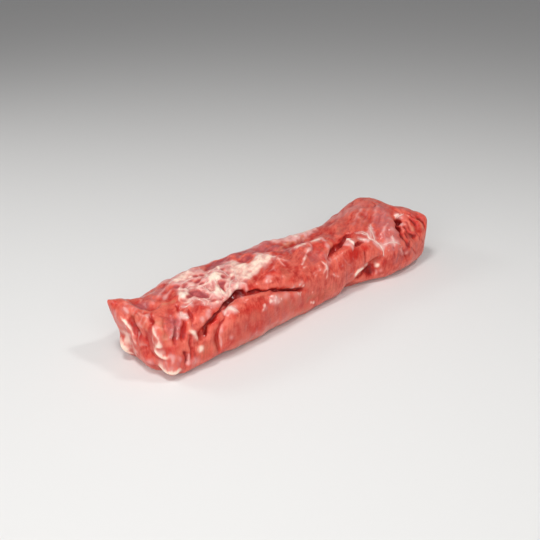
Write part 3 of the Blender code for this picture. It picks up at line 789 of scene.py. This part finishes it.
def dress_back(flesh):
    """The far side, which is finished like the rest: silverskin, fat in the fold, bare muscle."""
    roll = [(46, 34, 22), (72, 36, 18), (100, 36, 20), (132, 36, 16), (163, 34, 19), (196, 35, 14)]
    flesh.fold_with_painted_shade(roll, 2.6, 2.2, 0.7)
    flesh.ridge([(52, 34, 26), (76, 36, 22), (104, 36, 24), (130, 36, 20)], 5, 0.8, "fat", 0.8)
    flesh.fold_with_painted_shade([(205, 33, 36), (214, 36, 24), (221, 39, 10)], 2.4, 2.0, 0.8)
    flesh.fold_with_painted_shade([(20, 28, 30), (30, 32, 20), (28, 32, 8)], 2.0, 1.4, 0.7)
    flesh.ridge([(60, 32, 36), (66, 35, 28), (70, 36, 21)], 3, 0.6, "sinew", 0.8)
    flesh.ridge([(225, 34, 36), (232, 38, 26), (244, 40, 18)], 3, 0.6, "sinew", 0.8)
    flesh.ridge([(281, -18, 30), (283, -4, 27), (281, 10, 28), (276, 22, 22)], 4, 0.6, "veil", 0.8)


# The sinews that stand on the flesh: each one's thickness in millimetres, and its route.
SINEWS = (
    (1.1, [(207, -13, 42), (210, -17, 42), (209, -23, 39), (213, -27, 35), (215, -31, 32), (215, -35, 24)]),
    (0.7, [(199, -18, 41), (202, -20, 40), (205, -22, 39), (209, -25, 38)]),
    (0.8, [(218, -13, 43), (217, -17, 42), (214, -23, 39), (212, -26, 37)]),
    (0.7, [(223, -12, 43), (214, -20, 41), (210, -24, 39)]),
    (0.6, [(203, -12, 43), (208, -18, 42), (209, -22, 40)]),
    (0.6, [(216, -31, 33), (220, -32, 34), (226, -34, 34), (233, -37, 31)]),
    (0.6, [(229, -31, 39), (227, -34, 36), (226, -36, 30)]),
    (0.7, [(249, -19, 43), (251, -19, 45), (257, -20, 45)]),
    (0.4, [(245, -24, 41), (250, -25, 42)]),
    (0.8, [(105, 1, 46), (109, 2, 46), (114, 5, 47), (117, 1, 47), (118, -4, 47), (123, -6, 46)]),
    (
        0.7, [
            (67, 19, 46), (66, 12, 47), (66, 8, 47), (73, 7, 46), (80, 7, 46), (90, 12, 45), (94, 8, 45),
            (97, 1, 46),
        ],
    ),
    (0.7, [(58, -21, 42), (61, -12, 45), (64, -5, 46), (66, 2, 46)]),
    (0.6, [(58, -20, 42), (55, -16, 44), (54, -9, 45), (56, -4, 45), (61, -1, 46)]),
    (0.6, [(59, -20, 43), (67, -16, 44), (72, -12, 45), (78, -9, 44), (84, -8, 45)]),
    (0.6, [(35, -11, 43), (38, -11, 44), (41, -12, 44), (44, -16, 43), (43, -21, 42)]),
    (0.6, [(38, -3, 44), (43, 0, 45), (49, -1, 46), (54, -6, 45), (54, -14, 44)]),
    (0.5, [(42, 10, 45), (46, 8, 46), (50, 9, 46), (54, 8, 46), (60, 8, 47)]),
    (0.5, [(54, 1, 46), (60, 2, 47), (66, 3, 47), (70, -2, 46)]),
    (0.5, [(70, 5, 47), (76, 1, 46), (76, -7, 45)]),
    (0.5, [(84, 6, 46), (84, -1, 45), (80, -8, 45), (76, -14, 44)]),
    (0.4, [(40, 2, 45), (48, 2, 46), (51, -1, 46)]),
    (0.6, [(26, -14, 41), (25, -18, 40), (28, -20, 39), (30, -21, 38)]),
    (0.4, [(29, -11, 42), (33, -14, 42), (38, -13, 43)]),
    (0.5, [(53, -29, 33), (55, -27, 35), (60, -28, 37)]),
    (0.5, [(58, -28, 37), (61, -30, 35), (63, -32, 33)]),
    (0.5, [(60, 32, 36), (66, 35, 28), (70, 36, 21)]),
    (0.5, [(225, 34, 36), (232, 38, 26), (244, 40, 18)]),
)
SINEW_SIDES = 6
SINEW_STEP = 1.0  # mm between rings
SINEW_FLATNESS = 0.75  # how much of a sinew's height is pressed away
SINEW_UNEVENNESS = 0.8
SINEW_THINNESS = 0.72  # a sinew's radius, as a share of the thickness given above
LUMP_LENGTH = 2.5  # mm between a sinew's thick and thin places
LUMP_CONTRAST = 4.0


def feed(tree, fed, inputs):
    """Gives a node's inputs their values, or links them to outputs; a node is its first output."""
    for name, value in inputs.items():
        if isinstance(value, bpy.types.Node):
            value = value.outputs[0]
        if isinstance(value, bpy.types.NodeSocket):
            tree.links.new(value, fed.inputs[name])
        else:
            fed.inputs[name].default_value = value


def node(tree, kind, inputs=None, **settings):
    """Adds a node with its settings and links."""
    made = tree.nodes.new(kind)
    for name, value in settings.items():
        setattr(made, name, value)
    feed(tree, made, inputs or {})
    return made


def shaded(name):
    """A new material, with its node tree and its shader."""
    material = bpy.data.materials.new(name)
    material.use_nodes = True
    return material, material.node_tree, material.node_tree.nodes["Principled BSDF"]


def stood(name, data):
    """A new object of the scene."""
    made = bpy.data.objects.new(name, data)
    bpy.context.scene.collection.objects.link(made)
    return made


def made_plain(piece):
    """Turns a piece's modifiers into plain mesh."""
    shown = piece.evaluated_get(bpy.context.evaluated_depsgraph_get())
    mesh = bpy.data.meshes.new_from_object(shown)
    piece.modifiers.clear()
    piece.data = mesh


def strand_tree(material):
    """Geometry nodes that make each line a flattened, uneven strand on its own lean."""
    tree = bpy.data.node_groups.new("sinew_strands", "GeometryNodeTree")
    sockets = {}
    for name, kind in (
        ("Lines", "Geometry"),
        ("Sides", "Int"),
        ("Step", "Float"),
        ("Flatness", "Float"),
        ("Unevenness", "Float"),
        ("Seed", "Float"),
    ):
        socket = tree.interface.new_socket(name, in_out="INPUT", socket_type="NodeSocket" + kind)
        sockets[name] = socket.identifier
    tree.interface.new_socket("Strands", in_out="OUTPUT", socket_type="NodeSocketGeometry")
    given = tree.nodes.new("NodeGroupInput").outputs
    place = node(tree, "GeometryNodeInputPosition")
    lean, thickness, centre = (
        node(tree, "GeometryNodeInputNamedAttribute", {"Name": name}, data_type=kind)
        for name, kind in (("lean", "FLOAT_VECTOR"), ("thickness", "FLOAT"), ("centre", "FLOAT_VECTOR"))
    )

    line = node(tree, "GeometryNodeMeshToCurve", {"Mesh": given["Lines"]})
    line = node(tree, "GeometryNodeResampleCurve", {"Curve": line, "Length": given["Step"]}, mode="LENGTH")
    line = node(
        tree,
        "GeometryNodeStoreNamedAttribute",
        {"Geometry": line, "Name": "centre", "Value": place},
        data_type="FLOAT_VECTOR",
        domain="POINT",
    )
    lumps = {"Vector": place, "W": given["Seed"], "Scale": per_metre(LUMP_LENGTH)}
    lumps = node(tree, "ShaderNodeTexNoise", lumps, noise_dimensions="4D")
    lumps = node(tree, "ShaderNodeMath", {0: lumps, 1: 0.5}, operation="SUBTRACT")
    lumps = node(tree, "ShaderNodeMath", {0: lumps, 1: given["Unevenness"]}, operation="MULTIPLY")
    lumps = node(tree, "ShaderNodeMath", {0: lumps, 1: LUMP_CONTRAST, 2: 1.0}, operation="MULTIPLY_ADD")
    radius = node(tree, "ShaderNodeMath", {0: lumps, 1: thickness}, operation="MULTIPLY")
    ring = node(tree, "GeometryNodeCurvePrimitiveCircle", {"Resolution": given["Sides"], "Radius": 1.0})
    strand = {"Curve": line, "Profile Curve": ring, "Scale": radius, "Fill Caps": True}
    made = node(tree, "GeometryNodeCurveToMesh", strand)
    height = node(tree, "ShaderNodeVectorMath", {0: place, 1: centre}, operation="SUBTRACT")
    height = node(tree, "ShaderNodeVectorMath", {0: height, 1: lean}, operation="DOT_PRODUCT")
    pressed = {0: height.outputs["Value"], 1: given["Flatness"]}
    pressed = node(tree, "ShaderNodeMath", pressed, operation="MULTIPLY")
    pressed = node(tree, "ShaderNodeMath", {0: pressed, 1: -1.0}, operation="MULTIPLY")
    shift = node(tree, "ShaderNodeVectorMath", {0: lean, "Scale": pressed}, operation="SCALE")
    made = node(tree, "GeometryNodeSetPosition", {"Geometry": made, "Offset": shift})
    made = node(tree, "GeometryNodeRealizeInstances", {"Geometry": made})
    made = node(tree, "GeometryNodeSetMaterial", {"Geometry": made, "Material": material})
    tree.links.new(made.outputs[0], tree.nodes.new("NodeGroupOutput").inputs[0])
    return tree, sockets


SINEW_COLOURS = ("F0CABE", "DC9C90")  # dry cream, and pink where it is wet and thin


def sinew_material():
    """Sinew: tough wet cords that let light in, so they are cream with a pink cast from below."""
    material, tree, shader = shaded("veal_sinew")
    where = node(tree, "ShaderNodeTexCoord").outputs["Object"]
    cloud = node(tree, "ShaderNodeTexNoise", {"Vector": where, "Scale": per_metre(3), "Detail": 3.0})
    pink = node(tree, "ShaderNodeMapRange", {0: cloud, 1: 0.35, 2: 0.7})
    cream, deeper = (linear(code) for code in SINEW_COLOURS)
    colour = node(tree, "ShaderNodeMix", {0: pink, 6: cream, 7: deeper}, data_type="RGBA")
    finish = {
        "Base Color": colour.outputs[2],
        "Roughness": node(tree, "ShaderNodeMapRange", {0: cloud, 1: 0.3, 2: 0.7, 3: 0.3, 4: 0.5}),
        "IOR": 1.38,
        "Subsurface Weight": 0.3,
        "Subsurface Radius": (1.0, 0.5, 0.4),
        "Subsurface Scale": 0.0015,
        "Coat Weight": 0.4,
        "Coat Roughness": 0.15,
    }
    feed(tree, shader, finish)
    return material


def sinew_strands(flesh):
    """The sinews' lines on the flesh, made into strands."""
    places, leans, thicknesses, edges = [], [], [], []
    for thickness, route in SINEWS:
        route = flesh.settled(route)
        route += np.array([noise.noise_vector(Vector(p / 5)) for p in route]) * 0.9
        found = [flesh.skin.find_nearest(p) for p in route]
        first = len(places)
        edges += [(first + i, first + i + 1) for i in range(len(found) - 1)]
        for i, hit in enumerate(found):
            taper = math.sin(math.pi * (i + 0.5) / len(found)) ** 0.8
            places.append((np.array(hit[0]) - ORIGIN) * MM)
            leans.append(hit[1])
            thicknesses.append(SINEW_THINNESS * thickness * taper * MM)
    mesh = bpy.data.meshes.new("veal_sinews")
    mesh.from_pydata(places, edges, [])
    mesh.attributes.new("lean", "FLOAT_VECTOR", "POINT").data.foreach_set("vector", np.array(leans).ravel())
    mesh.attributes.new("thickness", "FLOAT", "POINT").data.foreach_set("value", thicknesses)
    piece = stood("veal_sinews", mesh)
    strands = piece.modifiers.new("strands", "NODES")
    strands.node_group, sockets = strand_tree(sinew_material())
    for name, value in {
        "Sides": SINEW_SIDES,
        "Step": SINEW_STEP * MM,
        "Flatness": SINEW_FLATNESS,
        "Unevenness": SINEW_UNEVENNESS,
        "Seed": 3.0,
    }.items():
        strands[sockets[name]] = value
    made_plain(piece)
    piece.data.shade_smooth()
    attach(piece, "root")


def hollows(flesh):
    """Painted shading from the relief: how far each point lies below its surroundings, so hollows are painted
    darker and crests painted paler.
    """
    close = ((flesh.spread(flesh.at, 14) - flesh.at) * flesh.out).sum(1)
    wide = ((flesh.spread(flesh.at, 90) - flesh.at) * flesh.out).sum(1)
    flesh.tones["hollow"] = np.clip(close / 0.5, -1, 1.5) * 0.6 + np.clip(wide / 1.6, -1, 1.5) * 0.5


def silverskin(flesh):
    """Thin pale films and wisps that come and go all over, most of all on the back."""
    back = eased((flesh.out[:, 1] - 0.1) / 0.5)
    cloud = noise_at(flesh.at * (0.6, 1, 1), 18, 11) + 0.5 * noise_at(flesh.at, 7, 12)
    bare = 1 - 0.8 * eased((-flesh.out[:, 1] - 0.3) / 0.4) * eased((170 - flesh.at[:, 0]) / 20)
    flesh.tint("veil", (0.25 + 0.5 * back) * bare * eased((cloud - 0.1 + 0.45 * back) / 0.9))
    thick_end = eased((flesh.at[:, 0] - 175) / 20) * (1 - back)
    bare *= 1 - 0.5 * thick_end
    for length, thin, much, seed in ((9, 0.13, 0.75, 13), (5.5, 0.14, 0.75, 14), (3.6, 0.16, 0.6, 15)):
        wisp = fibred(flesh, lambda n, thin=thin: eased(1 - np.abs(n) / thin), length, seed)
        patchy = eased(0.35 + 1.1 * noise_at(flesh.at, 2.2 * length, seed + 20))
        flesh.tint("veil", much * wisp * patchy * bare)
        flesh.tint("sinew", (0.3 + 0.3 * back) * wisp**2 * patchy * eased(cloud))
    flesh.tint("veil", 0.5 * eased((5 - flesh.at[:, 2]) / 5))
    for length, seed in ((13, 31), (8, 32)):
        patch = eased(noise_at(flesh.at * (0.7, 1, 1), length, seed) * 1.4 - 0.2)
        flesh.tint("red", 0.7 * patch * (1 - 0.5 * thick_end))
    flesh.tint("tan", 0.5 * eased(noise_at(flesh.at, 15, 33) * 1.5 - 0.3))
    flesh.tint("web", 0.15 + 0.2 * back)
    flesh.tint("calm", 0.3 * thick_end)


# The flesh's layers from the muscle outwards: the tone that drives each, its paler and its
# deeper colour, and where between 0 and 1 of that tone it starts and is full.
LAYERS = (
    ("red", "CC2A1C", "A8140C", 0.15, 1.05),
    ("tan", "D47C62", "BA5A44", 0.20, 1.10),
    ("mauve", "C05C5A", "A04246", 0.15, 1.05),
    ("veil", "E2A49E", "CA7A74", 0.10, 1.20),
    ("fat", "F8DCC8", "DE9E92", 0.15, 0.95),
    ("sinew", "FADFD2", "ECB2A4", 0.25, 1.10),
    # The last layer is painted shade: dark red on the floors of folds, pits and hollows.
    ("fold_with_painted_shade", "A6120C", "7C0805", 0.25, 1.05),
)
MUSCLE = ("DA6654", "B2271D")  # pale and deep

# The sizes of the muscle's patterns in millimetres, and how finely each breaks up.
PATTERNS = {"broad": (13, 3.0), "blotch": (4.5, 4.0), "grit": (1.6, 3.0)}
FIBRE_SIZE = 1.7
NET_SIZE = 7
NET_BEND = 0.010  # how far noise bends the net's cells, as a share
# The ways the fibres run: the tone that asks for each, how it is turned, and its stretch.
FIBRE_WAYS = (
    (None, (0, 0.1, 0.45), (6, 1, 1)),
    ("cross", (0, 0.1, 0.2), (1, 5, 2)),
    ("upright", (0, 0.15, 0), (1, 1, 6)),
)
# What makes the muscle deeper, and by how much: between the two ends it goes from pale to deep. The relief
# share is painted shade in hollows and painted light on crests.
MOTTLE_SHARES = {"broad": 0.7, "blotch": 0.8, "fibre": 0.9, "hollow": 0.45}
MOTTLE_ENDS = (0.85, 1.55)
CALM_MOTTLE = 1.15
RAGGEDNESS = 0.7  # how far the blotches and fibres break up a layer's edge
WINDOWS = -0.55  # how far the net's cells open the fat
SKIN_RELIEF = 0.0007  # m


def raw_muscle():
    """Raw veal: wet, faintly see-through muscle, so light sinks in a few millimetres and
    comes out redder, and the film of juice gives small bright glints on a soft sheen."""
    material, tree, shader = shaded("raw_veal_muscle")
    where = node(tree, "ShaderNodeTexCoord").outputs["Object"]
    parts = {
        tone: node(tree, "ShaderNodeAttribute", attribute_name=tone).outputs["Fac"] for tone in TONES
    }
    for name, (size, detail) in PATTERNS.items():
        pattern = {"Vector": where, "Scale": per_metre(size), "Detail": detail}
        parts[name] = node(tree, "ShaderNodeTexNoise", pattern)
    for way, turn, stretch in FIBRE_WAYS:
        run = {0: where, "Rotation": turn, "Scale": stretch}
        run = node(tree, "ShaderNodeMapping", run, vector_type="TEXTURE")
        pattern = {"Vector": run, "Scale": per_metre(FIBRE_SIZE), "Detail": 3.0}
        fibre = node(tree, "ShaderNodeTexNoise", pattern)
        if way:
            fibre = node(tree, "ShaderNodeMix", {0: parts[way], 2: parts["fibre"], 3: fibre})
        parts["fibre"] = fibre
    # deep is the painted fold shade; below, it only makes the folds rougher and their bumps gentler.
    broad, blotch, deep, net = (parts[name] for name in ("broad", "blotch", "fold_with_painted_shade", "web"))

    mottle = 0.0
    for name, share in MOTTLE_SHARES.items():
        mottle = node(tree, "ShaderNodeMath", {0: parts[name], 1: share, 2: mottle}, operation="MULTIPLY_ADD")
    mottle = node(tree, "ShaderNodeMix", {0: parts["calm"], 2: mottle, 3: CALM_MOTTLE})
    ends = {0: mottle, 1: MOTTLE_ENDS[0], 2: MOTTLE_ENDS[1]}
    depth = node(tree, "ShaderNodeMapRange", ends, interpolation_type="SMOOTHSTEP")
    colour = {0: depth, 6: linear(MUSCLE[0]), 7: linear(MUSCLE[1])}
    colour = node(tree, "ShaderNodeMix", colour, data_type="RGBA").outputs[2]

    bent = {0: NET_BEND, 4: where, 5: broad.outputs[1]}
    bent = node(tree, "ShaderNodeMix", bent, data_type="VECTOR").outputs[1]
    cells = {"Vector": bent, "Scale": per_metre(NET_SIZE)}
    cells = node(tree, "ShaderNodeTexVoronoi", cells, feature="DISTANCE_TO_EDGE")
    cord = node(tree, "ShaderNodeMapRange", {0: cells, 1: 0.09, 2: 0.0}, interpolation_type="SMOOTHSTEP")
    inner = node(tree, "ShaderNodeMapRange", {0: cells, 1: 0.10, 2: 0.32}, interpolation_type="SMOOTHSTEP")
    opened = node(tree, "ShaderNodeMath", {0: inner, 1: net}, operation="MULTIPLY")
    some = node(tree, "ShaderNodeMapRange", {0: broad, 1: 0.42, 2: 0.62})
    web = node(tree, "ShaderNodeMath", {0: net, 1: some}, operation="MULTIPLY")
    web = node(tree, "ShaderNodeMath", {0: web, 1: cord}, operation="MULTIPLY")
    ragged = node(tree, "ShaderNodeMath", {0: blotch, 1: parts["fibre"]}, operation="ADD")
    ragged = node(tree, "ShaderNodeMath", {0: ragged, 1: 1.0}, operation="SUBTRACT")
    for tone, paler, deeper, start, full in LAYERS:
        much = parts[tone]
        if tone == "sinew":
            much = node(tree, "ShaderNodeMath", {0: much, 1: web}, operation="ADD")
        if tone == "fat":
            much = node(tree, "ShaderNodeMath", {0: opened, 1: WINDOWS, 2: much}, operation="MULTIPLY_ADD")
        much = {0: ragged, 1: RAGGEDNESS, 2: much}
        much = node(tree, "ShaderNodeMath", much, operation="MULTIPLY_ADD")
        much = node(tree, "ShaderNodeMapRange", {0: much, 1: start, 2: full}, interpolation_type="SMOOTHSTEP")
        layer = {0: depth, 6: linear(paler), 7: linear(deeper)}
        layer = node(tree, "ShaderNodeMix", layer, data_type="RGBA").outputs[2]
        colour = node(tree, "ShaderNodeMix", {0: much, 6: colour, 7: layer}, data_type="RGBA").outputs[2]

    rough = node(tree, "ShaderNodeMapRange", {0: blotch, 1: 0.3, 2: 0.7, 3: 0.32, 4: 0.55})
    rough = node(tree, "ShaderNodeMath", {0: deep, 1: 0.3, 2: rough}, operation="MULTIPLY_ADD")
    height = parts["grit"]
    for part, share in ((parts["fibre"], 0.9), (blotch, 1.5), (web, 0.4)):
        height = node(tree, "ShaderNodeMath", {0: part, 1: share, 2: height}, operation="MULTIPLY_ADD")
    finish = {
        "Base Color": colour,
        "Roughness": rough,
        "IOR": 1.38,
        "Subsurface Weight": 0.15,
        "Subsurface Radius": (1.0, 0.35, 0.25),
        "Subsurface Scale": 0.002,
        "Specular IOR Level": 0.35,
        "Coat Weight": 0.3,
        "Coat Roughness": 0.14,
        "Sheen Weight": 0.06,
        "Sheen Roughness": 0.35,
    }
    for name, outside, inside in (("Normal", 0.5, 0.1), ("Coat Normal", 0.25, 0.03)):
        strength = node(tree, "ShaderNodeMapRange", {0: deep, 1: 0.2, 2: 0.9, 3: outside, 4: inside})
        bump = {"Height": height, "Strength": strength, "Distance": SKIN_RELIEF}
        finish[name] = node(tree, "ShaderNodeBump", bump)
    feed(tree, shader, finish)
    return material


def fine_copy(source, name):
    """A copy of the solid's skin, closed and cut evenly fine."""
    bm = bmesh.new()
    bm.from_mesh(source.data)
    bmesh.ops.remove_doubles(bm, verts=bm.verts, dist=1e-6)
    mesh = bpy.data.meshes.new(name)
    bm.to_mesh(mesh)
    bm.free()
    piece = stood(name, mesh)
    cut = piece.modifiers.new("fine_faces", "REMESH")
    cut.mode = "VOXEL"
    cut.voxel_size = FLESH_GRAIN * MM
    made_plain(piece)
    return piece


def veal_flesh():
    """The solid's skin, worked and tinted into the strip's flesh."""
    piece = fine_copy(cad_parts["veal_flank"], "veal_flank_flesh")
    flesh = Flesh(piece.data)
    bundles(flesh)
    flesh.look_again()
    silverskin(flesh)
    flesh.tones["cross"] = across_strip(flesh)
    flesh.tones["upright"] = np.maximum(at_cut(flesh), facing_front(flesh))
    for dress in (
        dress_back,
        dress_slope,
        dress_fat,
        dress_top,
        dress_front,
        dress_thick_end,
        dress_corner,
        dress_cut_end,
    ):
        dress(flesh)
        flesh.look_again()
    for thickness, route in SINEWS:
        flesh.streak("veil", route, 3 + 2 * thickness, 1.0)
    hollows(flesh)
    flesh.at = flesh.spread(flesh.at, 1)
    flesh.at[:, 2] = np.maximum(flesh.at[:, 2], 0)
    piece.data.vertices.foreach_set("co", ((flesh.at - ORIGIN) * MM).ravel())
    for name, values in flesh.tones.items():
        tone = piece.data.attributes.new(name, "FLOAT", "POINT")
        tone.data.foreach_set("value", flesh.spread(values, 1))
    piece.data.materials.clear()
    piece.data.materials.append(raw_muscle())
    piece.data.shade_smooth()
    piece.data.update()
    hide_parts("veal_flank")
    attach(piece, "root")
    return flesh


def pale_floor():
    """A matt paper floor, for the picture alone."""
    bm = bmesh.new()
    bmesh.ops.create_grid(bm, x_segments=1, y_segments=1, size=4)
    mesh = bpy.data.meshes.new("pale_floor")
    bm.to_mesh(mesh)
    bm.free()
    paper, tree, shader = shaded("matt_paper")
    feed(tree, shader, {"Base Color": linear("DFDEDC"), "Roughness": 0.8})
    mesh.materials.append(paper)
    stood("pale_floor", mesh)


def soft_light(name, at, size, power):
    """A square soft light that faces the strip."""
    light = bpy.data.lights.new(name, "AREA")
    light.shape = "SQUARE"
    light.size = size
    light.energy = power
    lamp = stood(name, light)
    lamp.location = at
    lamp.rotation_euler = (Vector((0, 0, 0.02)) - Vector(at)).to_track_quat("-Z", "Y").to_euler()


def studio():
    """Small lights from above for the glints, and large ones from the near side to fill."""
    soft_light("overhead", (-0.24, -0.06, 0.76), 0.15, 2.35)
    soft_light("over_front", (0.27, -0.32, 0.69), 0.10, 1.3)
    soft_light("back_left", (-0.45, 0.60, 0.50), 0.20, 1.2)
    soft_light("cut_end", (-0.9, -0.35, 0.45), 0.5, 3.3)
    soft_light("front", (-0.45, -0.95, 0.45), 0.9, 4.5)
    world = bpy.data.worlds.new("studio")
    world.use_nodes = True
    feed(world.node_tree, world.node_tree.nodes["Background"], {"Color": linear("F4F4F6"), "Strength": 0.27})
    bpy.context.scene.world = world
    bpy.context.scene.view_settings.view_transform = "Standard"


def camera():
    """The photograph's own view."""
    lens = bpy.data.cameras.new("camera")
    lens.lens = lens.sensor_width * FOCAL_PIXELS / FRAME_PIXELS
    eye = stood("camera", lens)
    eye.location = EYE
    eye.rotation_euler = (math.radians(90 - EYE_TIP), 0, math.radians(EYE_TURN))
    bpy.context.scene.camera = eye


camera()
pale_floor()
studio()
sinew_strands(veal_flesh())
